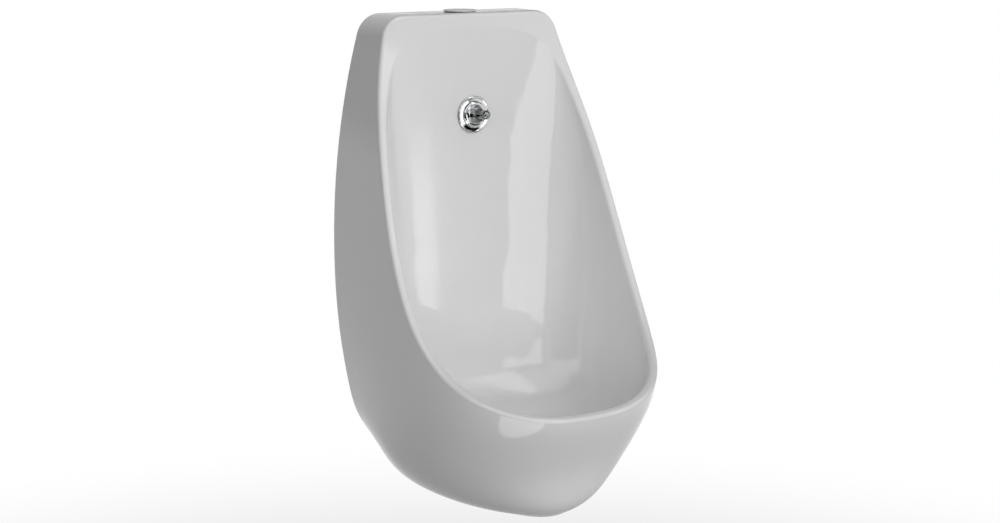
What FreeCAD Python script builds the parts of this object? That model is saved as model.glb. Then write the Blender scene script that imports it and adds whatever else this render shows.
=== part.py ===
import FreeCAD, Part
import math
import os
from FreeCAD import Vector

# Wall hung urinal in vitreous china, in millimetres.
# +X is to the right of someone facing it, the wall is the plane y = 0 and the bowl stands out towards -Y.
# Every piece is drawn with z = 0 at the lowest point of the china. At the end the whole urinal is moved
# down by hanger_height, which puts the origin on the wall, midway between the four hanger screws.

# China body
body_height = 600.0
body_width = 345.0
body_depth = 314.0
lip_height = 138.0          # top of the front lip above the lowest point
top_depth = 52.0            # how far the top stands out from the wall
top_corner_radius = 33.0    # rounded shoulders, seen from the front
china = 12.0                # wall thickness of the casting
base_china = 2.0            # least wall where the underside draws in
rim_round = 4.5             # rounding of the rim edges
base_round = 7.0            # rounding of the underside edge
widest_share = 0.425        # where the bowl is widest, as a share of its depth
base_fullness = 2.2         # exponent of the front of the lowest section, 2 is an ellipse
rim_fullness = 2.6          # the same from full_height up
full_height = 180.0
cavity_fullness = 2.5       # the same for the back of the hollow that the user sees

# Inside of the bowl
panel_depth = 57.0          # splash panel, measured from the wall
panel_lean = 4.2             # how far the panel leans back from above the inlet to the top
bowl_floor = 87.0           # seat of the waste flange above the lowest point
drain_depth = 180.0         # drain centre, measured from the wall
floor_radius = 47.0         # flat floor round the drain
front_bend = 58.0           # height over which the floor turns up into the front and sides
back_bend = 110.0           # the same for the slope below the splash panel
bowl_fullness = 2.4

# Hanging: steel hanger brackets on the wall carry a web across the back of the china
hanger_height = body_height - 130.0     # centre of the hanger screws above the lowest point
hanger_spacing = 150.0
hanger_screw_spacing = 30.0
hanger_screw_hole = 8.0
hanger_width = 46.0
hanger_shelf = 28.0         # top of the bracket shelf above the screw centre
hanger_lip = 14.0           # height of the upturned lip
hanger_drop = 27.0          # plate below the screw centre
steel = 3.0                 # thickness of all bracket steel
pad = 2.0                   # plastic pad between shelf and china
web = 11.0                  # thickness of the china web that hangs on the lip

# Lower fixing: an angle on each side, screwed to the wall and to a lug inside the skirt
lower_spacing = 128.0
lower_wall_hole_height = 47.0
lower_wall_hole = 7.0
angle_width = 22.0
angle_leg = 28.0
angle_height = 26.0
lug_width = 26.0
lug_depth = 32.0
lug_height = 30.0
lug_screw_depth = 19.0      # lug screw, measured from the wall
fixing_screw = 6.0
fixing_hole = 9.0
fixing_seat = 20.0          # flat seat of the washer above the lowest point
fixing_washer = 16.0
washer = 1.6
washer_room = 1.0           # between the washer and its recess
nut_flats = 10.0
nut_height = 5.0
fixing_head = 4.0
fixing_end = 3.0            # thread that stands out past the nut

# Water inlet through the splash panel
inlet_height = body_height - 126.0
inlet_hole = 24.0
shank_diameter = 20.9
shank_bore = 14.0
rosette_diameter = 46.0
rosette_height = 5.0
rosette_edge = 1.8
rosette_groove = 0.8        # width of the groove inside the rounded edge
rosette_groove_depth = 0.5
rosette_dome = 34.0         # diameter of the raised middle
rosette_gasket = 1.2
collar_diameter = 23.0
collar_length = 3.0
inlet_washer = 2.0
inlet_nut_flats = 30.0
inlet_nut = 7.0
nut_spot_face = 42.0        # ground flat behind the panel
coupling_flats = 27.0
coupling_length = 26.0
coupling_back = 1.0         # gap from the wall to the hexagon
coupling_seal = 2.0
coupling_room = 2.5         # round the coupling, where it passes the web
inlet_reach = 14.0          # threaded end that goes into the wall socket
hub_diameter = 17.0
hub_length = 6.0
neck_diameter = 14.6
neck_length = 2.4
nozzle_diameter = 9.8
nozzle_tip_diameter = 11.6
nozzle_stem = 5.0           # from the neck to the wider tip
nozzle_tip_length = 11.0
nozzle_tip_edge = 0.5
nozzle_tip_dome = 4.6       # length of the rounded end
nozzle_tip_wall = 4.0       # solid end beyond the waterway
nozzle_bore = 6.0
nozzle_tilt = 10.0          # the nozzle looks up a little from the inlet axis
slot_width = 1.6
slot_setback = 5.0          # from the end of the tip
spigot_diameter = 11.0
spigot_length = 9.0
spigot_ring = 1.5
seat_cut = 0.4              # spot faces ground into the panel for flat seats
socket_depth = 14.0         # thread of the coupling on the shank
thread_gap = 0.1            # radial gap that stands for a thread

# Spare top inlet and its cover
top_inlet_depth = 27.0      # centre, measured from the wall
top_inlet_hole = 26.0
cover_diameter = 42.0
cover_height = 1.6
cover_round = 1.0
cover_stem = 14.0
cover_stem_wall = 2.0
cover_seal = 0.6
cover_seal_diameter = 38.0

# Waste
drain_hole = 50.0
waste_flange = 72.0
waste_flange_height = 3.0
waste_tail = 44.0
waste_bore = 36.4
waste_tail_length = 29.0
gasket = 2.0
gasket_diameter = 66.0
hand_nut_flutes = 16        # grip flutes on the waste nut and the slip nut
flute = 2.0
waste_nut = 62.0
waste_nut_height = 8.0
strainer_diameter = 52.0
strainer_seat = 1.4
strainer_rise = 5.0
strainer_plate = 1.4
strainer_rim = 4.0          # width of the flat rim
strainer_holes = 12
strainer_hole = 4.6
strainer_hole_circle = 32.0
strainer_leg = 12.0
strainer_legs = 3
strainer_leg_width = 2.4
pipe_diameter = 32.0
pipe_wall = 2.0
elbow_height = 36.0         # axis of the run to the trap
elbow_insert = 9.0          # how far the elbow goes up into the tail
slip_nut = 54.0
slip_nut_height = 10.5
slip_washer = 4.0
slip_lip = 2.5              # inward lip of the slip nut
slip_taper = 1.7

# Trap in the hollow behind the bowl
trap_width = 90.0
trap_back = 10.0            # measured from the wall
trap_depth = 42.0
trap_base = 16.0
trap_top = 104.0
trap_wall = 3.0
trap_corner = 9.0
weir_height = 80.0          # top of the partition between the two chambers
partition = 2.5
sump_height = 10.5          # clear height of the sump under both chambers
socket_wall = 3.0
socket_length = 12.0
seal_wall = 2.4
seal_length = 6.0
seal_setback = 2.0          # seal behind the mouth of its socket
lid_height = 4.0
lid_lip = 5.0
clean_out_neck = 40.0
clean_out_bore = 32.0
clean_out_drop = 10.0       # neck below the trap
cap_diameter = 48.0
cap_height = 12.0
cap_seal = 1.6
cap_gap = 0.2               # end float of the cap on its seal
cap_floor = 3.0
cap_grooves = 12
cap_groove = 1.6
access_width = 60.0         # notch in the underside, open to the wall
outlet_diameter = 50.0
outlet_wall = 2.0
outlet_height = 60.0
outlet_reach = 40.0         # outlet pipe behind the wall line
outlet_seal_wall = 2.6
outlet_seal_length = 5.0
outlet_socket_length = 9.0
outlet_bead = 1.5           # stop bead on the pipe where it enters the wall
outlet_bead_length = 2.0

# Clearances
fit = 0.3                   # between pieces that only stand beside each other
running = 0.05              # radial clearance of the nozzle spigot in its socket
slide = 0.4                 # round what is pushed in by hand

# Small details that many pieces share
small_chamfer = 0.8         # turned and threaded ends
moulded_round = 1.5
hexagon_turning = 0.97      # hexagon corners turned down to this share
extra = 1.0                 # by which cutting and joining shapes run on past their mark
near = 0.1                  # how near an edge lies to the place where it is looked for

# Half widths and depths of the uncut china as shares of body_width / 2 and body_depth.
# Below the lip the heights are shares of lip_height, above it shares of the rest.
lower_outline = [
    # height, half width at the wall, widest half width, depth
    (0.00, 0.230, 0.315, 0.758),
    (0.09, 0.425, 0.535, 0.812),
    (0.20, 0.535, 0.675, 0.838),
    (0.40, 0.640, 0.815, 0.865),
    (0.65, 0.775, 0.900, 0.918),
    (1.00, 0.872, 0.950, 0.990),
]
upper_outline = [
    (0.16, 0.945, 0.995, 0.997),
    (0.37, 0.979, 1.000, 1.000),
    (0.57, 0.958, 0.958, 1.000),
    (0.74, 0.899, 0.885, 1.000),
    (0.93, 0.785, 0.745, 1.000),
    (1.00, 0.730, 0.690, 1.000),
]
# Side view of the front: how far it has come forward from the top to the lip, and at what height
front_outline = [
    # forward share, height share above the lip
    (0.000, 1.000),
    (0.061, 0.838),
    (0.180, 0.654),
    (0.277, 0.506),
    (0.383, 0.361),
    (0.535, 0.210),
    (0.752, 0.089),
    (0.960, 0.017),
    (1.070, -0.020),
]

rise = body_height - lip_height
panel_upright = inlet_height + rosette_diameter / 2 + 3 * extra   # the panel leans back from here up
web_bottom = hanger_height + hanger_shelf + pad

# Seats ground flat on the splash panel, measured from the wall
panel_front = panel_depth - seat_cut
panel_rear = panel_depth - china + seat_cut

# Inlet fittings, from the splash panel towards the user; every value is a distance from the wall
gasket_face = panel_front + rosette_gasket
rosette_face = gasket_face + rosette_height
collar_face = rosette_face + collar_length
o_ring_face = collar_face - spigot_length / 2
hub_face = collar_face + fit + hub_length
neck_face = hub_face + neck_length
# and towards the wall
washer_face = panel_rear - inlet_washer
coupling_front = coupling_back + coupling_length
shank_end = coupling_front - socket_depth + coupling_seal

# Spare top inlet
cover_base = body_height + fit + cover_seal
cover_stem_diameter = top_inlet_hole - 2 * slide

# Heights of the waste stack
flange_base = bowl_floor + gasket
flange_top = flange_base + waste_flange_height
tail_end = flange_base - waste_tail_length
floor_under = bowl_floor - china
nut_top = floor_under - gasket
washer_base = tail_end - slip_washer
strainer_base = flange_top - strainer_seat + fit

# Trap, and the clean-out cap under it
trap_front = trap_back + trap_depth
socket_front = trap_front + socket_length
trap_middle = trap_back + trap_depth / 2
chamber_depth = (trap_depth - 2 * trap_wall - partition) / 2
shelf_base = trap_base + trap_wall + sump_height
neck_end = trap_base - clean_out_drop
cap_inside = neck_end - cap_gap - cap_seal


def curve_through(stations):
    """Smooth curve value(x) through (x, value) pairs."""
    curve = Part.BSplineCurve()
    curve.interpolate(Points=[Vector(x, value, 0) for x, value in stations],
                      Parameters=[x for x, value in stations])
    return lambda x: curve.value(x).y


def outline_height(row, base, span):
    return base + row[0] * span


def outline_curve(column, scale):
    rows = [(outline_height(row, 0, lip_height), row[column] * scale) for row in lower_outline]
    rows += [(outline_height(row, lip_height, rise), row[column] * scale) for row in upper_outline]
    return curve_through(rows)


wall_half = outline_curve(1, body_width / 2)
widest_half = outline_curve(2, body_width / 2)
front_depth = outline_curve(3, body_depth)
rim_points = [(top_depth + forward * (body_depth - top_depth), lip_height + share * rise)
              for forward, share in front_outline]
rim_depth = curve_through([(height, depth) for depth, height in reversed(rim_points)])


def softly_smaller(first, second):
    """The smaller of two lengths, with a soft change where they are alike."""
    return (first ** -6 + second ** -6) ** (-1 / 6)


def superellipse(half, centre, reach, fullness, start, end, steps):
    """Points at y = centre - reach on the front, from angle start to end in degrees."""
    points = []
    for step in range(steps + 1):
        angle = math.radians(start + (end - start) * step / steps)
        across = abs(math.cos(angle)) ** (2 / fullness)
        along = abs(math.sin(angle)) ** (2 / fullness)
        x = math.copysign(half * across, math.cos(angle)) if across > 1e-9 else 0.0
        points.append(Vector(x, centre - reach * along, 0))
    return points


def spline_edge(points, height):
    lifted = [Vector(point.x, point.y, height) for point in points]
    curve = Part.BSplineCurve()
    curve.interpolate(Points=lifted, Parameters=[step / (len(lifted) - 1) for step in range(len(lifted))])
    return curve.toShape()


def plan_fullness(height):
    return base_fullness + (rim_fullness - base_fullness) * min(height / full_height, 1)


def body_section(height, inset, back):
    """D shaped horizontal section of the uncut china, brought in by inset, with its flat back at y = back."""
    lower = max(height - inset, 0.0)
    ease = base_china if inset else 0.0
    at_wall = min(wall_half(height) - inset, wall_half(lower) - ease)
    widest = min(widest_half(height) - inset, widest_half(lower) - ease)
    depth = min(front_depth(height) - inset, front_depth(lower) - ease)
    centre = widest_share * depth
    side = []
    for step in range(4):
        share = step / 4
        x = at_wall + (widest - at_wall) * math.sin(math.pi / 2 * share)
        side.append(Vector(x, back - (centre + back) * share, 0))
    front = superellipse(widest, -centre, depth - centre, plan_fullness(height), 0, 180, 24)
    other_side = [Vector(-point.x, point.y, 0) for point in reversed(side)]
    points = side + front + other_side
    curve = spline_edge(points, height)
    back_line = Part.makeLine(Vector(-at_wall, back, height), Vector(at_wall, back, height))
    return Part.Wire([curve, back_line])


def heights_between(low, high, steps, ease=1.0):
    """Heights from low to high, closer together near low when ease is over 1."""
    return [low + (high - low) * (step / steps) ** ease for step in range(steps + 1)]


def uncut_body():
    heights = heights_between(0, lip_height, 7, 1.5) + heights_between(lip_height, body_height, 8)[1:]
    loft = Part.makeLoft([body_section(height, 0, extra) for height in heights], True, False)
    return loft.cut(block(2 * body_width, 0, 0, 2 * extra, -extra, body_height + extra))


def panel_at(height):
    """Depth of the splash panel, which leans back from above the inlet to run into the front of the top."""
    share = max(height - panel_upright, 0) / (body_height - panel_upright)
    return panel_depth - panel_lean * share ** 2


def turned_up(height, bend):
    """How far a floor has turned up into its wall, from 0 on the floor to 1 at the height of the bend."""
    share = min(max(height / bend, 0.0), 1.0)
    return (1 - (1 - share) ** bowl_fullness) ** (1 / bowl_fullness)


def cavity_section(height, grow):
    """Closed horizontal section of the bowl's inside, grown by grow for the back of the casting."""
    floor = bowl_floor - grow
    turn = turned_up(height - floor, front_bend)
    back_turn = turned_up(height - floor, back_bend)
    floor_half = floor_radius + grow / 2
    half = floor_half + (widest_half(height) - china + grow - floor_half) * turn
    front = drain_depth + floor_half + (front_depth(height) - china + grow - drain_depth - floor_half) * turn
    back = drain_depth - floor_half - (drain_depth - floor_half - panel_at(height) + grow) * back_turn
    centre = softly_smaller(rim_depth(height) + rim_round, widest_share * body_depth)
    centre = drain_depth + (centre - drain_depth) * turn
    front_half = superellipse(half, -centre, front - centre, plan_fullness(height), 0, 180, 24)
    back_half = superellipse(half, -centre, back - centre, cavity_fullness, 180, 360, 24)
    return Part.Wire([spline_edge(front_half, height), spline_edge(back_half, height)])


def cavity(grow, top):
    floor = bowl_floor - grow
    bend = heights_between(floor, floor + back_bend, 11, 2.0)
    heights = bend + heights_between(floor + back_bend, top, 14)[1:]
    return Part.makeLoft([cavity_section(height, grow) for height in heights], True, False)


def upright(radius, height, base, x=0.0, depth=0.0):
    """Cylinder on a vertical axis, standing at base."""
    return Part.makeCylinder(radius, height, Vector(x, -depth, base))


def through(radius, length, front, height, x=0.0):
    """Cylinder square to the wall, from y = -front back towards the wall."""
    return Part.makeCylinder(radius, length, Vector(x, -front, height), Vector(0, 1, 0))


def block(x_size, x_middle, y_low, y_high, z_low, z_high):
    return Part.makeBox(x_size, y_high - y_low, z_high - z_low, Vector(x_middle - x_size / 2, y_low, z_low))


def front_cutter():
    """Everything in front of the side profile."""
    reach = body_depth * 2
    points = [Vector(-reach, -rim_depth(height), height) for height in front_heights()]
    curve = Part.BSplineCurve()
    curve.interpolate(points)
    low = points[-1]
    high = points[0]
    corners = [high, Vector(-reach, high.y, high.z + reach), Vector(-reach, -reach * 2, high.z + reach),
               Vector(-reach, -reach * 2, low.z), low]
    edges = [Part.makeLine(a, b) for a, b in zip(corners, corners[1:])]
    face = Part.Face(Part.Wire([curve.toShape()] + edges[::-1]))
    return face.extrude(Vector(2 * reach, 0, 0))


def front_heights():
    low = lip_height + front_outline[-1][1] * rise
    return [low + (body_height - low) * (1 - step / 16) ** 1.6 for step in range(17)]


def edges_where(shape, wanted):
    return [edge for edge in shape.Edges if wanted(edge.BoundBox)]


def hollow():
    """Space inside the casting, behind the panel and under the bowl, open to the wall below the web."""
    heights = heights_between(china, lip_height, 8, 1.5)
    heights += heights_between(lip_height, body_height - china, 14)[1:]
    space = Part.makeLoft([body_section(height, china, web) for height in heights], True, False)
    space = space.cut(cavity(china, body_height))
    across = body_width * 2
    space = space.cut(block(across, 0, -web, across, web_bottom, body_height * 2))
    return max(space.Solids, key=lambda solid: solid.Volume)


def urinal_body():
    body = uncut_body().cut(front_cutter()).cut(cavity(0, body_height - 2 * extra))
    top_sides = edges_where(body, lambda box: box.ZMin > body_height - near and box.YLength > box.XLength)
    body = body.makeFillet(top_corner_radius, top_sides)
    front = [face for face in body.Faces if face.Surface.TypeId == "Part::GeomSurfaceOfExtrusion"]
    body = body.makeFillet(rim_round, max(front, key=lambda face: face.Area).Edges)
    underside = edges_where(body, lambda box: box.ZMax < near and box.YLength > 1)
    body = body.makeFillet(base_round, underside)
    body = body.cut(hollow())
    inside = uncut_body()
    for side in (-1, 1):
        lug = block(lug_width, side * lower_spacing / 2, -lug_depth - steel, -steel, 0, lug_height)
        body = body.fuse(lug.common(inside))
    for side in (-1, 1):
        x = side * lower_spacing / 2
        recess = fixing_washer / 2 + washer_room
        body = body.cut(upright(fixing_hole / 2, lug_height + 2 * china, -china, x, lug_screw_depth))
        body = body.cut(upright(recess, fixing_seat + china, -china, x, lug_screw_depth))
    body = body.cut(through(inlet_hole / 2, 2 * china, panel_depth + china / 2, inlet_height))
    body = body.cut(through(rosette_diameter / 2 + extra, china, panel_front + china, inlet_height))
    body = body.cut(through(nut_spot_face / 2, china, panel_rear, inlet_height))
    coupling_way = coupling_flats / math.sqrt(3) + coupling_room
    body = body.cut(through(coupling_way, web + extra, web, inlet_height))
    body = body.cut(upright(top_inlet_hole / 2, 3 * china, body_height - 2 * china, 0, top_inlet_depth))
    body = body.cut(upright(drain_hole / 2, 3 * china, bowl_floor - 2 * china, 0, drain_depth))
    notch_middle = trap_back + trap_depth / 2
    body = body.cut(upright(access_width / 2, 2 * china, -china, 0, notch_middle))
    return body.cut(block(access_width, 0, -notch_middle, china, -china, china)).removeSplitter()


def ring(outer, inner, length, front, height):
    """Ring on an axis square to the wall."""
    return through(outer / 2, length, front, height).cut(through(inner / 2, length, front, height))


def flat_ring(outer, inner, height, base, depth, x=0.0):
    """Ring on an upright axis."""
    return upright(outer / 2, height, base, x, depth).cut(upright(inner / 2, height, base, x, depth))


def hexagon(flats, length, front, height):
    """Hexagonal bar on an axis square to the wall, with its corners turned down."""
    radius = flats / math.sqrt(3)
    points = [Vector(radius * math.sin(math.radians(60 * step)), -front,
                     height + radius * math.cos(math.radians(60 * step))) for step in range(7)]
    bar = Part.Face(Part.makePolygon(points)).extrude(Vector(0, length, 0))
    return bar.common(through(radius * hexagon_turning, length, front, height))


def turned(outline, front, height):
    """Solid turned about the inlet axis, from (radius, distance from front towards the wall) pairs."""
    points = [Vector(radius, -front + along, height) for radius, along in outline]
    wire = Part.makePolygon(points + [points[0]])
    return Part.Face(wire).revolve(Vector(0, 0, height), Vector(0, 1, 0), 360)


def turned_curve(points, start, end):
    """Points of a quarter turn from start to end, bulging outward, as (radius, along) pairs."""
    result = []
    for step in range(points + 1):
        angle = math.pi / 2 * step / points
        radius = end[0] + (start[0] - end[0]) * math.cos(angle)
        along = start[1] + (end[1] - start[1]) * math.sin(angle)
        result.append((radius, along))
    return result


def rosette():
    edge = rosette_diameter / 2
    dome = rosette_dome / 2
    middle = collar_diameter / 2 + extra
    outline = [(shank_diameter / 2 + thread_gap, 0), (edge, 0)]
    outline += turned_curve(4, (edge, -rosette_edge / 2), (edge - rosette_edge, -rosette_edge))
    outline += [(edge - rosette_edge - rosette_groove, -rosette_edge + rosette_groove_depth)]
    outline += turned_curve(5, (dome, -rosette_edge), (middle, -rosette_height))
    outline += [(shank_diameter / 2 + thread_gap, -rosette_height)]
    return turned(outline, gasket_face, inlet_height)


def rosette_gasket_ring():
    outer = rosette_diameter - 2 * rosette_edge
    return ring(outer, shank_diameter + 2 * thread_gap, rosette_gasket, gasket_face, inlet_height)


def spreader_shank():
    shank = through(shank_diameter / 2, rosette_face - shank_end, rosette_face, inlet_height)
    collar = through(collar_diameter / 2, collar_length, collar_face, inlet_height)
    front_edge = edges_where(collar, lambda box: box.YMax < -collar_face + near)
    collar = collar.makeChamfer(small_chamfer, front_edge)
    shank = shank.fuse(collar)
    shank = shank.cut(through(shank_bore / 2, rosette_face, rosette_face - spigot_length, inlet_height))
    socket = spigot_diameter / 2 + running
    return shank.cut(through(socket, collar_face, collar_face, inlet_height)).removeSplitter()


def spray_nozzle():
    hub = through(hub_diameter / 2, hub_length, hub_face, inlet_height)
    hub = hub.makeChamfer(small_chamfer, edges_where(hub, lambda box: box.YMax < -hub_face + near))
    neck = through(neck_diameter / 2, neck_length, neck_face, inlet_height)
    spigot = through(spigot_diameter / 2, fit + spigot_length, hub_face - hub_length, inlet_height)
    bed = spigot_diameter - 2 * spigot_ring
    ring_bed = ring(spigot_diameter + extra, bed, spigot_ring, o_ring_face, inlet_height)
    tip = nozzle_tip_diameter / 2
    tip_end = nozzle_stem + nozzle_tip_length
    outline = [(0, hub_length), (nozzle_diameter / 2, hub_length), (nozzle_diameter / 2, -nozzle_stem)]
    outline += [(tip - nozzle_tip_edge, -nozzle_stem), (tip, -nozzle_stem - nozzle_tip_edge)]
    outline += turned_curve(6, (tip, -tip_end + nozzle_tip_dome), (0, -tip_end))
    stem = turned(outline, neck_face, inlet_height)
    waterway = through(nozzle_bore / 2, tip_end, neck_face + tip_end - nozzle_tip_wall, inlet_height)
    slot_front = -neck_face - tip_end + slot_setback
    slot = block(nozzle_tip_diameter, 0, slot_front, slot_front + slot_width,
                 inlet_height - nozzle_tip_diameter, inlet_height)
    stem = stem.cut(slot)
    pivot = Vector(0, -neck_face, inlet_height)
    for piece in (stem, waterway):
        piece.rotate(pivot, Vector(1, 0, 0), -nozzle_tilt)
    nozzle = hub.fuse([neck, spigot, stem]).cut(ring_bed).cut(waterway)
    return nozzle.cut(through(nozzle_bore / 2, spigot_length + hub_length, hub_face - extra, inlet_height))


def nozzle_ring():
    radius = spigot_diameter / 2 - spigot_ring / 2
    middle = Vector(0, -o_ring_face + spigot_ring / 2, inlet_height)
    return Part.makeTorus(radius, spigot_ring / 2, middle, Vector(0, 1, 0))


def inlet_washer_ring():
    return ring(inlet_nut_flats, shank_diameter + 2 * thread_gap, inlet_washer, panel_rear, inlet_height)


def inlet_nut_hex():
    nut = hexagon(inlet_nut_flats, inlet_nut, washer_face, inlet_height)
    return nut.cut(through(shank_diameter / 2 + thread_gap, inlet_nut, washer_face, inlet_height))


def wall_coupling():
    sleeve = hexagon(coupling_flats, coupling_length, coupling_front, inlet_height)
    stub = through(shank_diameter / 2, coupling_back + inlet_reach, coupling_back, inlet_height)
    stub = stub.makeChamfer(small_chamfer, edges_where(stub, lambda box: box.YMin > inlet_reach - near))
    coupling = sleeve.fuse(stub)
    thread = shank_diameter / 2 + thread_gap
    coupling = coupling.cut(through(thread, socket_depth, coupling_front, inlet_height))
    return coupling.cut(through(shank_bore / 2, 2 * coupling_length, coupling_front, inlet_height))


def coupling_seal_ring():
    return ring(shank_diameter, shank_bore, coupling_seal, shank_end, inlet_height)


def top_cover():
    plate = upright(cover_diameter / 2, cover_height, cover_base, 0, top_inlet_depth)
    upper_edge = edges_where(plate, lambda box: box.ZMin > cover_base + cover_height - near)
    plate = plate.makeFillet(cover_round, upper_edge)
    inner = cover_stem_diameter - 2 * cover_stem_wall
    tube = flat_ring(cover_stem_diameter, inner, cover_stem, cover_base - cover_stem, top_inlet_depth)
    return plate.fuse(tube).removeSplitter()


def top_cover_seal():
    base = body_height + fit
    return flat_ring(cover_seal_diameter, cover_stem_diameter, cover_seal, base, top_inlet_depth)


def waste_gasket(base):
    return flat_ring(gasket_diameter, waste_tail + 2 * thread_gap, gasket, base, drain_depth)


def waste_body():
    body = upright(waste_flange / 2, waste_flange_height, flange_base, 0, drain_depth)
    body = body.makeFillet(moulded_round, edges_where(body, lambda box: box.ZMin > flange_top - near))
    body = body.fuse(upright(waste_tail / 2, waste_tail_length + extra, tail_end, 0, drain_depth))
    seat = upright(strainer_diameter / 2 + slide, strainer_seat, flange_top - strainer_seat, 0, drain_depth)
    return body.cut(seat).cut(upright(waste_bore / 2, 2 * waste_tail_length, tail_end, 0, drain_depth))


def around(count, radius, depth, start, maker):
    """Pieces made by maker(x, depth) at even steps on a circle about an upright axis, from angle start."""
    pieces = []
    for step in range(count):
        angle = start + 360 * step / count
        x = radius * math.cos(math.radians(angle))
        pieces.append(maker(x, depth - radius * math.sin(math.radians(angle))))
    return pieces


def hand_nut(diameter, inner, height, base, depth):
    nut = flat_ring(diameter, inner, height, base, depth)
    flutes = around(hand_nut_flutes, diameter / 2 + flute / 2, depth, 0,
                    lambda x, y: upright(flute, height, base, x, y))
    return nut.cut(flutes)


def waste_nut_ring():
    base = nut_top - waste_nut_height
    return hand_nut(waste_nut, waste_tail + 2 * thread_gap, waste_nut_height, base, drain_depth)


def slip_nut_ring():
    base = washer_base - slip_lip
    nut = hand_nut(slip_nut, pipe_diameter + 2 * fit, slip_nut_height, base, drain_depth)
    return nut.cut(upright(waste_tail / 2 + thread_gap, slip_nut_height, washer_base, 0, drain_depth))


def slip_washer_ring():
    wide = waste_tail / 2 - fit
    cone = Part.makeCone(wide, wide - slip_taper, slip_washer, Vector(0, -drain_depth, washer_base))
    return cone.cut(upright(pipe_diameter / 2 + thread_gap, slip_washer, washer_base, 0, drain_depth))


def strainer_drill(x, depth):
    return upright(strainer_hole / 2, 4 * strainer_rise, strainer_base, x, depth)


def strainer():
    rim = strainer_diameter / 2
    flat = rim - strainer_rim
    radius = (flat ** 2 + strainer_rise ** 2) / (2 * strainer_rise)
    middle = Vector(0, -drain_depth, strainer_base + strainer_plate + strainer_rise - radius)
    dome = Part.makeSphere(radius, middle).cut(Part.makeSphere(radius - strainer_plate, middle))
    dome = dome.common(upright(flat, 4 * strainer_rise, strainer_base, 0, drain_depth))
    plate = flat_ring(strainer_diameter, 2 * flat - extra, strainer_plate, strainer_base, drain_depth)
    plate = plate.fuse(dome)
    leg_circle = waste_bore / 2 - slide - strainer_leg_width / 2
    leg_top = middle.z + math.sqrt((radius - strainer_plate / 2) ** 2 - leg_circle ** 2)
    leg_base = strainer_base - strainer_leg
    legs = around(strainer_legs, leg_circle, drain_depth, 90,
                  lambda x, y: upright(strainer_leg_width / 2, leg_top - leg_base, leg_base, x, y))
    start = 180 / strainer_holes
    holes = around(strainer_holes, strainer_hole_circle / 2, drain_depth, start, strainer_drill)
    holes += around(strainer_holes // 2, strainer_hole_circle / 4, drain_depth, 0, strainer_drill)
    return plate.fuse(legs).cut(holes).removeSplitter()


def elbow():
    corner = Vector(0, -drain_depth, elbow_height)
    top = tail_end + elbow_insert
    run = drain_depth - trap_front - fit

    def bend(radius, longer):
        upper = upright(radius, top - elbow_height + longer, elbow_height, 0, drain_depth)
        lower = through(radius, run + longer, drain_depth, elbow_height)
        return upper.fuse([lower, Part.makeSphere(radius, corner)])

    inner = bend(pipe_diameter / 2 - pipe_wall, extra)
    return bend(pipe_diameter / 2, 0).cut(inner).removeSplitter()


def box_with_corners(width, front, back, low, high, corner):
    box = block(width, 0, -front, -back, low, high)
    return box.makeFillet(corner, edges_where(box, lambda edge: edge.XLength + edge.YLength < near))


def trap_body():
    inner = trap_width - 2 * trap_wall
    body = box_with_corners(trap_width, trap_front, trap_back, trap_base, trap_top, trap_corner)
    inlet_socket = pipe_diameter / 2 + seal_wall + socket_wall
    body = body.fuse(through(inlet_socket, socket_length + extra, socket_front, elbow_height))
    outlet_socket = outlet_diameter / 2 + outlet_seal_wall + socket_wall
    body = body.fuse(through(outlet_socket, outlet_socket_length + extra, trap_back + extra, outlet_height))
    body = body.fuse(upright(clean_out_neck / 2, clean_out_drop + extra, neck_end, 0, trap_middle))
    front_inside = trap_front - trap_wall
    back_inside = trap_back + trap_wall
    corner = trap_corner - trap_wall
    floor = trap_base + trap_wall
    body = body.cut(box_with_corners(inner, front_inside, back_inside, floor, trap_top + extra, corner))
    rear_chamber = back_inside + chamber_depth
    wall = block(inner + extra, 0, -rear_chamber - partition, -rear_chamber, shelf_base, weir_height)
    shelf_top = shelf_base + partition
    shelf_back = -back_inside + extra
    shelf = block(inner + extra, 0, -rear_chamber - partition, shelf_back, shelf_base, shelf_top)
    body = body.fuse([wall, shelf])
    body = body.cut(through(pipe_diameter / 2 + seal_wall, socket_length, socket_front, elbow_height))
    body = body.cut(through(pipe_diameter / 2 - pipe_wall, 2 * trap_wall, trap_front + extra, elbow_height))
    pipe = outlet_diameter / 2
    body = body.cut(through(pipe + outlet_seal_wall, outlet_socket_length, trap_back, outlet_height))
    body = body.cut(through(pipe - outlet_wall, 2 * trap_wall, back_inside + extra, outlet_height))
    neck_bore = upright(clean_out_bore / 2, clean_out_drop + trap_wall + extra, neck_end, 0, trap_middle)
    return body.cut(neck_bore).removeSplitter()


def trap_inlet_seal():
    outer = pipe_diameter + 2 * seal_wall
    front = socket_front - seal_setback
    return ring(outer, pipe_diameter + 2 * thread_gap, seal_length, front, elbow_height)


def trap_lid():
    inner = trap_width - 2 * trap_wall - 2 * fit
    lid = box_with_corners(trap_width, trap_front, trap_back, trap_top, trap_top + lid_height, trap_corner)
    lid = lid.makeFillet(moulded_round, edges_where(lid, lambda box: box.ZMin > trap_top + lid_height - near))
    low = trap_top - lid_lip
    front = trap_front - trap_wall - fit
    back = trap_back + trap_wall + fit
    corner = trap_corner - trap_wall - fit
    lip = box_with_corners(inner, front, back, low, trap_top + extra, corner)
    hollow_lip = box_with_corners(inner - 2 * partition, front - partition, back + partition, low, trap_top,
                                  corner - partition)
    return lid.fuse(lip.cut(hollow_lip)).removeSplitter()


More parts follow.
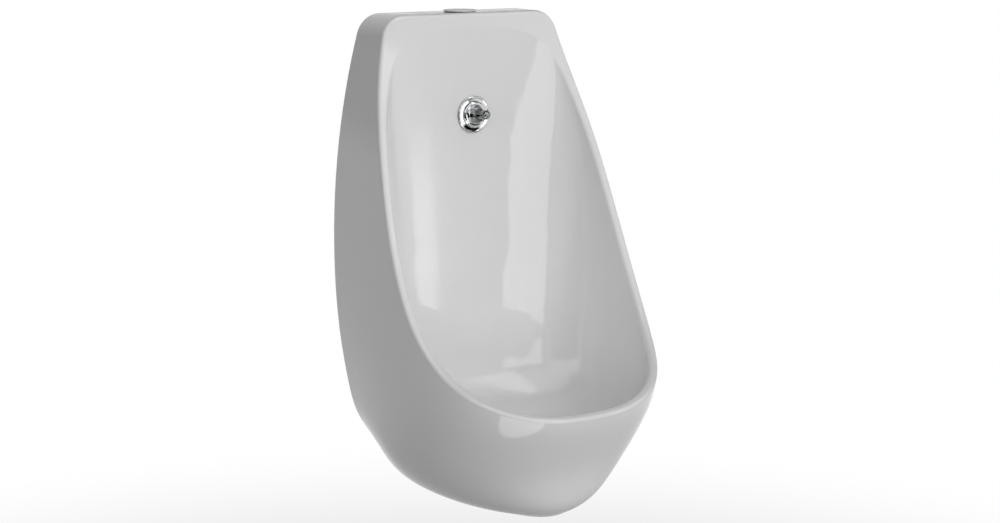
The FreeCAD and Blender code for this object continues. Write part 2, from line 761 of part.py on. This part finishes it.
def clean_out_cap():
    base = cap_inside - cap_floor
    cap = upright(cap_diameter / 2, cap_height, base, 0, trap_middle)
    cap = cap.makeFillet(moulded_round, edges_where(cap, lambda box: box.ZMax < base + near))
    grooves = around(cap_grooves, cap_diameter / 2 + cap_groove / 3, trap_middle, 0,
                     lambda x, y: upright(cap_groove, cap_height, base, x, y))
    cap = cap.cut(grooves)
    return cap.cut(upright(clean_out_neck / 2 + fit, cap_height, cap_inside, 0, trap_middle))


def clean_out_seal():
    return flat_ring(clean_out_neck, clean_out_bore, cap_seal, cap_inside, trap_middle)


def outlet_pipe():
    outer = outlet_diameter / 2
    pipe = through(outer, trap_back + outlet_reach, trap_back, outlet_height)
    pipe = pipe.makeChamfer(moulded_round, edges_where(pipe, lambda box: box.YMin > outlet_reach - near))
    bead = through(outer + outlet_bead, outlet_bead_length, 0, outlet_height)
    pipe = pipe.fuse(bead)
    return pipe.cut(through(outer - outlet_wall, trap_back + outlet_reach, trap_back, outlet_height))


def outlet_seal():
    outer = outlet_diameter + 2 * outlet_seal_wall
    front = trap_back - seal_setback
    return ring(outer, outlet_diameter + 2 * thread_gap, outlet_seal_length, front, outlet_height)


def along_x(outline, width, middle):
    """Bar of the given side view, from (distance from the wall, height) pairs."""
    points = [Vector(middle - width / 2, -depth, height) for depth, height in outline]
    face = Part.Face(Part.makePolygon(points + [points[0]]))
    return face.extrude(Vector(width, 0, 0))


def bent(bar, inside, outside):
    """Round the bends of a bar of sheet steel, given the (distance, height) of inner and outer corners."""
    for corners, radius in ((inside, steel / 2), (outside, steel * 1.5)):
        for depth, height in corners:
            corner = Vector(0, -depth, height)
            edges = edges_where(bar, lambda box: box.XLength > 1 and box.YLength + box.ZLength < near
                                and abs(box.YMax - corner.y) + abs(box.ZMax - corner.z) < near)
            bar = bar.makeFillet(radius, edges)
    return bar


def hanger_bracket(side):
    x = side * hanger_spacing / 2
    shelf = hanger_height + hanger_shelf
    reach = web + 2 * fit + steel
    low = hanger_height - hanger_drop
    outline = [(0, low), (0, shelf), (reach - steel, shelf), (reach - steel, shelf + hanger_lip),
               (reach, shelf + hanger_lip), (reach, shelf - steel), (steel, shelf - steel), (steel, low)]
    bar = along_x(outline, hanger_width, x)
    bar = bent(bar, [(steel, shelf - steel)], [])
    corners = edges_where(bar, lambda box: box.YLength > steel - near and box.XLength < near
                          and (box.ZMax < low + near or box.ZMin > shelf + hanger_lip - near))
    bar = bar.makeFillet(steel * 1.5, corners)
    for level in (-1, 1):
        height = hanger_height + level * hanger_screw_spacing / 2
        bar = bar.cut(through(hanger_screw_hole / 2, 2 * steel, steel + extra, height, x))
    return bar


def hanger_pads():
    low = hanger_height + hanger_shelf
    width = hanger_width - 2 * pad
    return Part.makeCompound([block(width, side * hanger_spacing / 2, -web, -fit, low, web_bottom)
                              for side in (-1, 1)])


def lower_bracket(side):
    x = side * lower_spacing / 2
    base = lug_height
    outline = [(0, base), (0, base + angle_height), (steel, base + angle_height), (steel, base + steel),
               (angle_leg, base + steel), (angle_leg, base)]
    bar = bent(along_x(outline, angle_width, x), [(steel, base + steel)], [(0, base)])
    bar = bar.cut(through(lower_wall_hole / 2, 2 * steel, steel + extra, lower_wall_hole_height, x))
    return bar.cut(upright(fixing_screw / 2 + fit, 3 * steel, base - steel, x, lug_screw_depth))


def upright_hexagon(flats, height, base, x, depth):
    radius = flats / math.sqrt(3)
    points = [Vector(x + radius * math.cos(math.radians(60 * step)),
                     -depth + radius * math.sin(math.radians(60 * step)), base) for step in range(7)]
    bar = Part.Face(Part.makePolygon(points)).extrude(Vector(0, 0, height))
    return bar.common(upright(radius * hexagon_turning, height, base, x, depth))


def fixing_set(maker):
    """One piece of the lower fixing on each side."""
    return Part.makeCompound([maker(side * lower_spacing / 2) for side in (-1, 1)])


def fixing_bolt(x):
    head_base = fixing_seat - washer - fixing_head
    head = upright_hexagon(nut_flats, fixing_head, head_base, x, lug_screw_depth)
    length = lug_height + steel + nut_height + fixing_end - head_base
    return head.fuse(upright(fixing_screw / 2, length, head_base, x, lug_screw_depth)).removeSplitter()


def fixing_washer_ring(x):
    hole = fixing_screw + 2 * thread_gap
    return flat_ring(fixing_washer, hole, washer, fixing_seat - washer, lug_screw_depth, x)


def fixing_nut(x):
    base = lug_height + steel
    nut = upright_hexagon(nut_flats, nut_height, base, x, lug_screw_depth)
    return nut.cut(upright(fixing_screw / 2 + thread_gap, nut_height, base, x, lug_screw_depth))


parts = {
    "urinal_body": urinal_body,
    "top_cover": top_cover,
    "top_cover_seal": top_cover_seal,
    "spreader_rosette": rosette,
    "rosette_gasket": rosette_gasket_ring,
    "spreader_shank": spreader_shank,
    "spray_nozzle": spray_nozzle,
    "nozzle_o_ring": nozzle_ring,
    "inlet_washer": inlet_washer_ring,
    "inlet_nut": inlet_nut_hex,
    "wall_coupling": wall_coupling,
    "coupling_seal": coupling_seal_ring,
    "strainer": strainer,
    "waste_flange": waste_body,
    "waste_upper_gasket": lambda: waste_gasket(bowl_floor),
    "waste_lower_gasket": lambda: waste_gasket(floor_under - gasket),
    "waste_nut": waste_nut_ring,
    "slip_nut": slip_nut_ring,
    "slip_washer": slip_washer_ring,
    "waste_elbow": elbow,
    "trap_body": trap_body,
    "trap_inlet_seal": trap_inlet_seal,
    "trap_lid": trap_lid,
    "clean_out_cap": clean_out_cap,
    "clean_out_seal": clean_out_seal,
    "outlet_pipe": outlet_pipe,
    "outlet_seal": outlet_seal,
    "hanger_bracket_left": lambda: hanger_bracket(-1),
    "hanger_bracket_right": lambda: hanger_bracket(1),
    "hanger_pads": hanger_pads,
    "lower_bracket_left": lambda: lower_bracket(-1),
    "lower_bracket_right": lambda: lower_bracket(1),
    "fixing_bolts": lambda: fixing_set(fixing_bolt),
    "fixing_washers": lambda: fixing_set(fixing_washer_ring),
    "fixing_nuts": lambda: fixing_set(fixing_nut),
}

os.makedirs("parts", exist_ok=True)
for name, make in parts.items():
    shape = make()
    shape.translate(Vector(0, 0, -hanger_height))
    if not shape.isValid():
        print(name, "is not a valid solid")
    shape.exportStep("parts/" + name + ".step")
    print(name, len(shape.Solids), "solid(s)", round(shape.Volume / 1000, 2), "cm3")
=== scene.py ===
import bpy
import bmesh
import math
from mathutils import Matrix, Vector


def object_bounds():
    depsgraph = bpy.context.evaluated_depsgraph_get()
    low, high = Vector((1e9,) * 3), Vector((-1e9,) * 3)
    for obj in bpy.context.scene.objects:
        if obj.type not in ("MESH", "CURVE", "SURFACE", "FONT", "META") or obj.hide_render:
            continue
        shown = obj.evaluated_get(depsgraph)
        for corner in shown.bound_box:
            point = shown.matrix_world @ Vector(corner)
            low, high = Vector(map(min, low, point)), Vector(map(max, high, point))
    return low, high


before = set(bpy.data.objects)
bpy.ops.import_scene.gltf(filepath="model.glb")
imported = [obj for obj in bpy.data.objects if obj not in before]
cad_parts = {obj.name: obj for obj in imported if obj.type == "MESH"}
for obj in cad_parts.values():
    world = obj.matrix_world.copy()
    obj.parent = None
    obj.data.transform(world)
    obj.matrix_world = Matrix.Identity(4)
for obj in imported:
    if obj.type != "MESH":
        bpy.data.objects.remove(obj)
cadLow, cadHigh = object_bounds()
scene = bpy.context.scene
print("frame loaded:", len(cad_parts), "pieces")

viewpoint = {
    "place": (-1.3553, -2.1065, 0.2773),     # metres
    "turned": (79.391, -0.104, -34.245),     # degrees about X, Y and Z
    "lens": 71.1, "sensor": 36,     # millimetres
}


def makeCamera():
    cameraData = bpy.data.cameras.new("viewCamera")
    cameraData.lens = viewpoint["lens"]
    cameraData.sensor_width = viewpoint["sensor"]
    camera = bpy.data.objects.new("viewCamera", cameraData)
    camera.location = viewpoint["place"]
    camera.rotation_euler = [math.radians(angle) for angle in viewpoint["turned"]]
    scene.collection.objects.link(camera)
    scene.camera = camera


makeCamera()
scene.view_settings.view_transform = "Standard"
print("camera placed")


def eased(tree, value, start, end, before, after):     # smooth step from before to after
    node = tree.nodes.new("ShaderNodeMapRange")
    node.interpolation_type = "SMOOTHSTEP"
    for socket, number in zip(("From Min", "From Max", "To Min", "To Max"), (start, end, before, after)):
        node.inputs[socket].default_value = number
    tree.links.new(value, node.inputs["Value"])
    return node.outputs["Result"]


def joined(tree, operation, first, second=None):     # each is a number or another node's output
    node = tree.nodes.new("ShaderNodeMath")
    node.operation = operation
    for socket, value in zip(node.inputs, (first, second)):
        if isinstance(value, float):
            socket.default_value = value
        elif value:
            tree.links.new(value, socket)
    return node.outputs[0]


def vectorMath(tree, operation, vector, *factors):
    node = tree.nodes.new("ShaderNodeVectorMath")
    node.operation = operation
    tree.links.new(vector, node.inputs[0])
    for socket, factor in zip(node.inputs[1:], factors):
        socket.default_value = factor
    return node.outputs


def apart(tree, vector):
    node = tree.nodes.new("ShaderNodeSeparateXYZ")
    tree.links.new(vector, node.inputs[0])
    return node.outputs


surround = {
    # glows: azimuth from the front, elevation, angle they are full within and end at, strength
    "glows": [(55, 12, 12, 34, 1.0), (-30, 12, 12, 34, 1.25), (-65, 12, 12, 34, 0.5),
              (5, 45, 12, 34, 1.15), (180, 10, 18, 45, 0.95)],
    # windows: azimuth from and to, elevation from and to, softness of the edge, strength
    "windows": [(1.5, 25.5, -16, 14, 1, 1.8), (22, 36, 17, 58, 2, 1.5), (43, 56, -24, -6, 3, 1.7)],
    "doorway": (-52, -8, -24, 9, 1.5, 1.0),     # dark, and in mirrored light only
    # white backdrop in mirrored light: towards the wall it starts and is full, with height it dims
    "backdrop": {"starts": 0.1, "full": 0.6, "dimsFrom": 0.0, "dimsTo": 0.16, "dimmed": 0.1},
}


def glow(tree, direction, azimuth, elevation, fullWithin, endsAt, strength):
    around, rise = math.radians(azimuth), math.radians(elevation)
    middle = (math.sin(around) * math.cos(rise), -math.cos(around) * math.cos(rise), math.sin(rise))
    nearness = vectorMath(tree, "DOT_PRODUCT", direction, middle)["Value"]
    outer, inner = math.cos(math.radians(endsAt)), math.cos(math.radians(fullWithin))
    return eased(tree, nearness, outer, inner, 0.0, strength)


def window(tree, axes, left, right, bottom, top, soft, strength):
    left, right, bottom, top, soft = map(math.radians, (left, right, bottom, top, soft))
    around = joined(tree, "ARCTAN2", axes["X"], joined(tree, "MULTIPLY", axes["Y"], -1.0))
    rise = joined(tree, "ARCSINE", axes["Z"])
    light = eased(tree, around, left - soft, left + soft, 0.0, strength)
    for value, edge, before in ((around, right, 1.0), (rise, bottom, 0.0), (rise, top, 1.0)):
        inside = eased(tree, value, edge - soft, edge + soft, before, 1.0 - before)
        light = joined(tree, "MULTIPLY", light, inside)
    return light


def makeSurround():
    world = bpy.data.worlds.new("studioWorld")
    world.use_nodes = True
    tree = world.node_tree
    tree.nodes.clear()
    out = tree.nodes.new("ShaderNodeOutputWorld")
    sky = tree.nodes.new("ShaderNodeBackground")
    sky.inputs["Color"].default_value = (1, 1, 1, 1)
    path = tree.nodes.new("ShaderNodeLightPath")
    direction = tree.nodes.new("ShaderNodeTexCoord").outputs["Generated"]
    axes = apart(tree, direction)
    mirrored = path.outputs["Is Glossy Ray"]

    lights = [glow(tree, direction, *values) for values in surround["glows"]]
    lights += [window(tree, axes, *values) for values in surround["windows"]]
    light = lights[0]
    for other in lights[1:]:
        light = joined(tree, "ADD", light, other)
    doorway = joined(tree, "MULTIPLY", mirrored, window(tree, axes, *surround["doorway"]))
    light = joined(tree, "MULTIPLY", light, joined(tree, "SUBTRACT", 1.0, doorway))

    cloth = surround["backdrop"]
    towardsWall = eased(tree, axes["Y"], cloth["starts"], cloth["full"], 0.0, 1.0)
    upwards = eased(tree, axes["Z"], cloth["dimsFrom"], cloth["dimsTo"], 1.0, cloth["dimmed"])
    backdrop = joined(tree, "MULTIPLY", joined(tree, "MULTIPLY", mirrored, towardsWall), upwards)
    # the camera sees plain white, straight on and through clear pieces
    plain = joined(tree, "MAXIMUM", path.outputs["Is Camera Ray"], path.outputs["Is Transmission Ray"])
    plain = joined(tree, "MAXIMUM", plain, backdrop)
    tree.links.new(joined(tree, "MAXIMUM", light, plain), sky.inputs["Strength"])
    tree.links.new(sky.outputs[0], out.inputs["Surface"])
    scene.world = world


makeSurround()
print("surround lit:", len(surround["glows"]), "glows and", len(surround["windows"]), "windows")

pattern = {
    "driftDetail": 3.0, "wearDetail": 4.0, "grainDetail": 2.0,
    "wearScale": 2.3,     # wear marks are finer than the patches of colour
    "noiseSpan": (0.3, 0.7), "colourSpan": (0.35, 0.65),     # most of the noise lies within these
}


def newFinish(name):
    material = bpy.data.materials.new(name)
    material.use_nodes = True
    tree = material.node_tree
    return material, tree, tree.nodes["Principled BSDF"], tree.nodes.new("ShaderNodeTexCoord")


def noise(tree, coord, scale, detail, stretch=None):
    node = tree.nodes.new("ShaderNodeTexNoise")
    node.inputs["Scale"].default_value = scale
    node.inputs["Detail"].default_value = detail
    source = coord.outputs["Object"]
    if stretch:
        mapping = tree.nodes.new("ShaderNodeMapping")
        mapping.inputs["Scale"].default_value = stretch
        tree.links.new(source, mapping.inputs["Vector"])
        source = mapping.outputs["Vector"]
    tree.links.new(source, node.inputs["Vector"])
    return node.outputs["Fac"]


def colours(tree, drift, look):
    ramp = tree.nodes.new("ShaderNodeValToRGB")
    for element, position, shade in zip(ramp.color_ramp.elements, pattern["colourSpan"], ("dark", "light")):
        element.position = position
        element.color = (*look[shade], 1)
    tree.links.new(drift, ramp.inputs["Fac"])
    return ramp.outputs["Color"]


def roughness(tree, wear, look):
    node = tree.nodes.new("ShaderNodeMapRange")
    span = (*pattern["noiseSpan"], *look["rough"])
    for socket, number in zip(("From Min", "From Max", "To Min", "To Max"), span):
        node.inputs[socket].default_value = number
    tree.links.new(wear, node.inputs["Value"])
    return node.outputs["Result"]


def relief(tree, shader, coord, grain, stretch=None):     # grain: fineness and height in metres
    normal = None
    for scale, height in grain:
        node = tree.nodes.new("ShaderNodeBump")
        node.inputs["Distance"].default_value = height
        tree.links.new(noise(tree, coord, scale, pattern["grainDetail"], stretch), node.inputs["Height"])
        if normal:
            tree.links.new(normal, node.inputs["Normal"])
        normal = node.outputs["Normal"]
    tree.links.new(normal, shader.inputs["Normal"])


def mixed(tree, kind, share, first, second):
    node = tree.nodes.new("ShaderNodeMix")
    node.data_type = kind
    tree.links.new(share, node.inputs["Factor"])
    tree.links.new(first, node.inputs["A"])
    tree.links.new(second, node.inputs["B"])
    return node.outputs["Result"]


def dress(names, material):
    for name in names:
        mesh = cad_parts[name].data
        mesh.materials.clear()
        mesh.materials.append(material)


china = {
    "glaze": {"dark": (0.862, 0.862, 0.862), "light": (0.872, 0.872, 0.872), "rough": (0.02, 0.045)},
    "bare": {"dark": (0.78, 0.765, 0.735), "light": (0.83, 0.82, 0.795), "rough": (0.45, 0.6)},
    "bareSpan": (0.35, 0.6),     # no glaze on faces that turn this far towards the wall
    "patch": 9, "wear": 21, "ior": 1.58,
    "grain": [(13, 0.0005), (34, 0.0004), (260, 0.00001)],     # the glaze has run a little unevenly
}


def makeChina():
    material, tree, shader, coord = newFinish("whiteGlaze")
    towardsWall = eased(tree, apart(tree, coord.outputs["Normal"])["Y"], *china["bareSpan"], 0.0, 1.0)
    drift = noise(tree, coord, china["patch"], pattern["driftDetail"])
    wear = noise(tree, coord, china["wear"], pattern["wearDetail"])
    glaze, bare = china["glaze"], china["bare"]
    colour = mixed(tree, "RGBA", towardsWall, colours(tree, drift, glaze), colours(tree, drift, bare))
    rough = mixed(tree, "FLOAT", towardsWall, roughness(tree, wear, glaze), roughness(tree, wear, bare))
    tree.links.new(colour, shader.inputs["Base Color"])
    tree.links.new(rough, shader.inputs["Roughness"])
    shader.inputs["IOR"].default_value = china["ior"]
    relief(tree, shader, coord, china["grain"])
    return material


dress(["urinal_body"], makeChina())
print("china glazed")

# patch is the fineness of the colour patches, stretch draws them out along an axis
fittings = {
    "polishedChrome": {
        "pieces": ["spreader_rosette", "spreader_shank", "strainer", "waste_flange"],
        "dark": (0.60, 0.61, 0.62), "light": (0.66, 0.665, 0.67), "rough": (0.03, 0.09), "metal": 1.0,
        "patch": 60, "grain": [(900, 0.000002)],
    },
    # the nozzle is chrome like the rosette, with its colour made darker: a painted dark reflection
    "nozzleChromePaintedDark": {
        "pieces": ["spray_nozzle"],
        "dark": (0.26, 0.265, 0.27), "light": (0.31, 0.315, 0.32), "rough": (0.06, 0.12), "metal": 1.0,
        "patch": 60, "grain": [(900, 0.000002)],
    },
    "turnedBrass": {
        "pieces": ["inlet_nut", "wall_coupling"],
        "dark": (0.66, 0.47, 0.20), "light": (0.75, 0.57, 0.29), "rough": (0.22, 0.38), "metal": 1.0,
        "patch": 90, "grain": [(700, 0.00002)], "stretch": (1, 6, 1),
    },
    "zincPlate": {
        "pieces": ["hanger_bracket_left", "hanger_bracket_right", "lower_bracket_left",
                   "lower_bracket_right", "fixing_bolts", "fixing_washers", "fixing_nuts"],
        "dark": (0.52, 0.53, 0.55), "light": (0.66, 0.67, 0.68), "rough": (0.28, 0.48), "metal": 1.0,
        "patch": 120, "grain": [(500, 0.00003)],
    },
    "blackRubber": {
        "pieces": ["top_cover_seal", "nozzle_o_ring", "inlet_washer", "coupling_seal",
                   "waste_lower_gasket", "slip_washer", "trap_inlet_seal", "clean_out_seal",
                   "outlet_seal"],
        "dark": (0.018, 0.018, 0.018), "light": (0.035, 0.035, 0.034), "rough": (0.6, 0.8), "metal": 0.0,
        "patch": 80, "grain": [(1100, 0.00004)],
    },
    "greyRubber": {
        "pieces": ["rosette_gasket", "waste_upper_gasket", "hanger_pads"],
        "dark": (0.30, 0.30, 0.30), "light": (0.36, 0.36, 0.355), "rough": (0.6, 0.8), "metal": 0.0,
        "patch": 80, "grain": [(1100, 0.00004)],
    },
    "mouldedWhite": {
        "pieces": ["top_cover", "waste_nut", "slip_nut", "clean_out_cap"],
        "dark": (0.78, 0.78, 0.77), "light": (0.81, 0.81, 0.80), "rough": (0.16, 0.26), "metal": 0.0,
        "patch": 40, "grain": [(60, 0.00005), (1500, 0.000006)],
    },
    "mouldedPipe": {
        "pieces": ["waste_elbow", "trap_body", "trap_lid"],
        "dark": (0.70, 0.70, 0.68), "light": (0.76, 0.76, 0.745), "rough": (0.38, 0.52), "metal": 0.0,
        "patch": 30, "grain": [(60, 0.00008), (1300, 0.00002)],
    },
    "extrudedGrey": {
        "pieces": ["outlet_pipe"],
        "dark": (0.20, 0.21, 0.22), "light": (0.25, 0.26, 0.27), "rough": (0.35, 0.5), "metal": 0.0,
        "patch": 60, "grain": [(700, 0.00003)], "stretch": (1, 0.05, 1),
    },
}


def makeFitting(name, look):
    material, tree, shader, coord = newFinish(name)
    stretch = look.get("stretch")
    drift = noise(tree, coord, look["patch"], pattern["driftDetail"], stretch)
    wear = noise(tree, coord, look["patch"] * pattern["wearScale"], pattern["wearDetail"], stretch)
    tree.links.new(colours(tree, drift, look), shader.inputs["Base Color"])
    tree.links.new(roughness(tree, wear, look), shader.inputs["Roughness"])
    shader.inputs["Metallic"].default_value = look["metal"]
    relief(tree, shader, coord, look["grain"], stretch)
    return material


for finishName, look in fittings.items():
    dress(look["pieces"], makeFitting(finishName, look))
    print(finishName, "on", len(look["pieces"]), "pieces")

floor = {
    "below": 0.48,     # metres under the china, so that the shadow stays soft
    "reach": 2.2, "middle": (0, -0.15), "sides": 96,
    "dark": (0.38, 0.38, 0.38), "light": (0.40, 0.40, 0.40), "rough": 0.9, "patch": 3.0,
    # white laid over the shadow: its share near and far, and where that changes in parts of the reach
    "white": {"near": 0.45, "far": 1.0, "from": 0.3, "to": 0.95},
    # oval of daylight in front, in mirrored light only
    "daylight": {"middle": (-0.3, -0.95), "halves": (0.36, 0.375), "edge": (0.95, 1.03), "strength": 2.8},
}


def overlaid(tree, share, first, second):
    node = tree.nodes.new("ShaderNodeMixShader")
    for socket, source in zip(node.inputs, (share, first, second)):
        tree.links.new(source, socket)
    return node.outputs[0]


def daylightStrength(tree, place, mirrored):
    oval = floor["daylight"]
    scale = [1 / half for half in oval["halves"]]
    shift = [-middle * factor for middle, factor in zip(oval["middle"], scale)]
    inOval = vectorMath(tree, "MULTIPLY_ADD", place, (*scale, 0), (*shift, 0))["Vector"]
    fromMiddle = vectorMath(tree, "LENGTH", inOval)["Value"]
    daylight = eased(tree, fromMiddle, *oval["edge"], oval["strength"], 0.0)
    return joined(tree, "ADD", joined(tree, "MULTIPLY", daylight, mirrored), 1.0)


def floorFinish():
    material, tree, shader, coord = newFinish("paleFloor")
    place = coord.outputs["Object"]
    path = tree.nodes.new("ShaderNodeLightPath")
    mirrored = path.outputs["Is Glossy Ray"]
    drift = noise(tree, coord, floor["patch"], pattern["driftDetail"])
    tree.links.new(colours(tree, drift, floor), shader.inputs["Base Color"])
    shader.inputs["Roughness"].default_value = floor["rough"]

    white = tree.nodes.new("ShaderNodeEmission")
    tree.links.new(daylightStrength(tree, place, mirrored), white.inputs["Strength"])
    fade = floor["white"]
    share = eased(tree, vectorMath(tree, "LENGTH", place)["Value"], floor["reach"] * fade["from"],
                  floor["reach"] * fade["to"], fade["near"], fade["far"])
    seen = joined(tree, "MAXIMUM", path.outputs["Is Camera Ray"], mirrored)
    above = overlaid(tree, joined(tree, "MULTIPLY", share, seen), shader.outputs[0], white.outputs[0])
    clear = tree.nodes.new("ShaderNodeBsdfTransparent")     # the floor is not seen from below
    fromBelow = tree.nodes.new("ShaderNodeNewGeometry").outputs["Backfacing"]
    whole = overlaid(tree, fromBelow, above, clear.outputs[0])
    tree.links.new(whole, tree.nodes["Material Output"].inputs["Surface"])
    return material


def makeFloor():
    floorMesh = bpy.data.meshes.new("studioFloor")
    disc = bmesh.new()
    bmesh.ops.create_circle(disc, cap_ends=True, segments=floor["sides"], radius=floor["reach"],
                            matrix=Matrix.Translation((*floor["middle"], cadLow.z - floor["below"])))
    disc.to_mesh(floorMesh)
    disc.free()
    floorMesh.materials.append(floorFinish())
    studioFloor = bpy.data.objects.new("studioFloor", floorMesh)
    scene.collection.objects.link(studioFloor)


makeFloor()
print("floor laid")
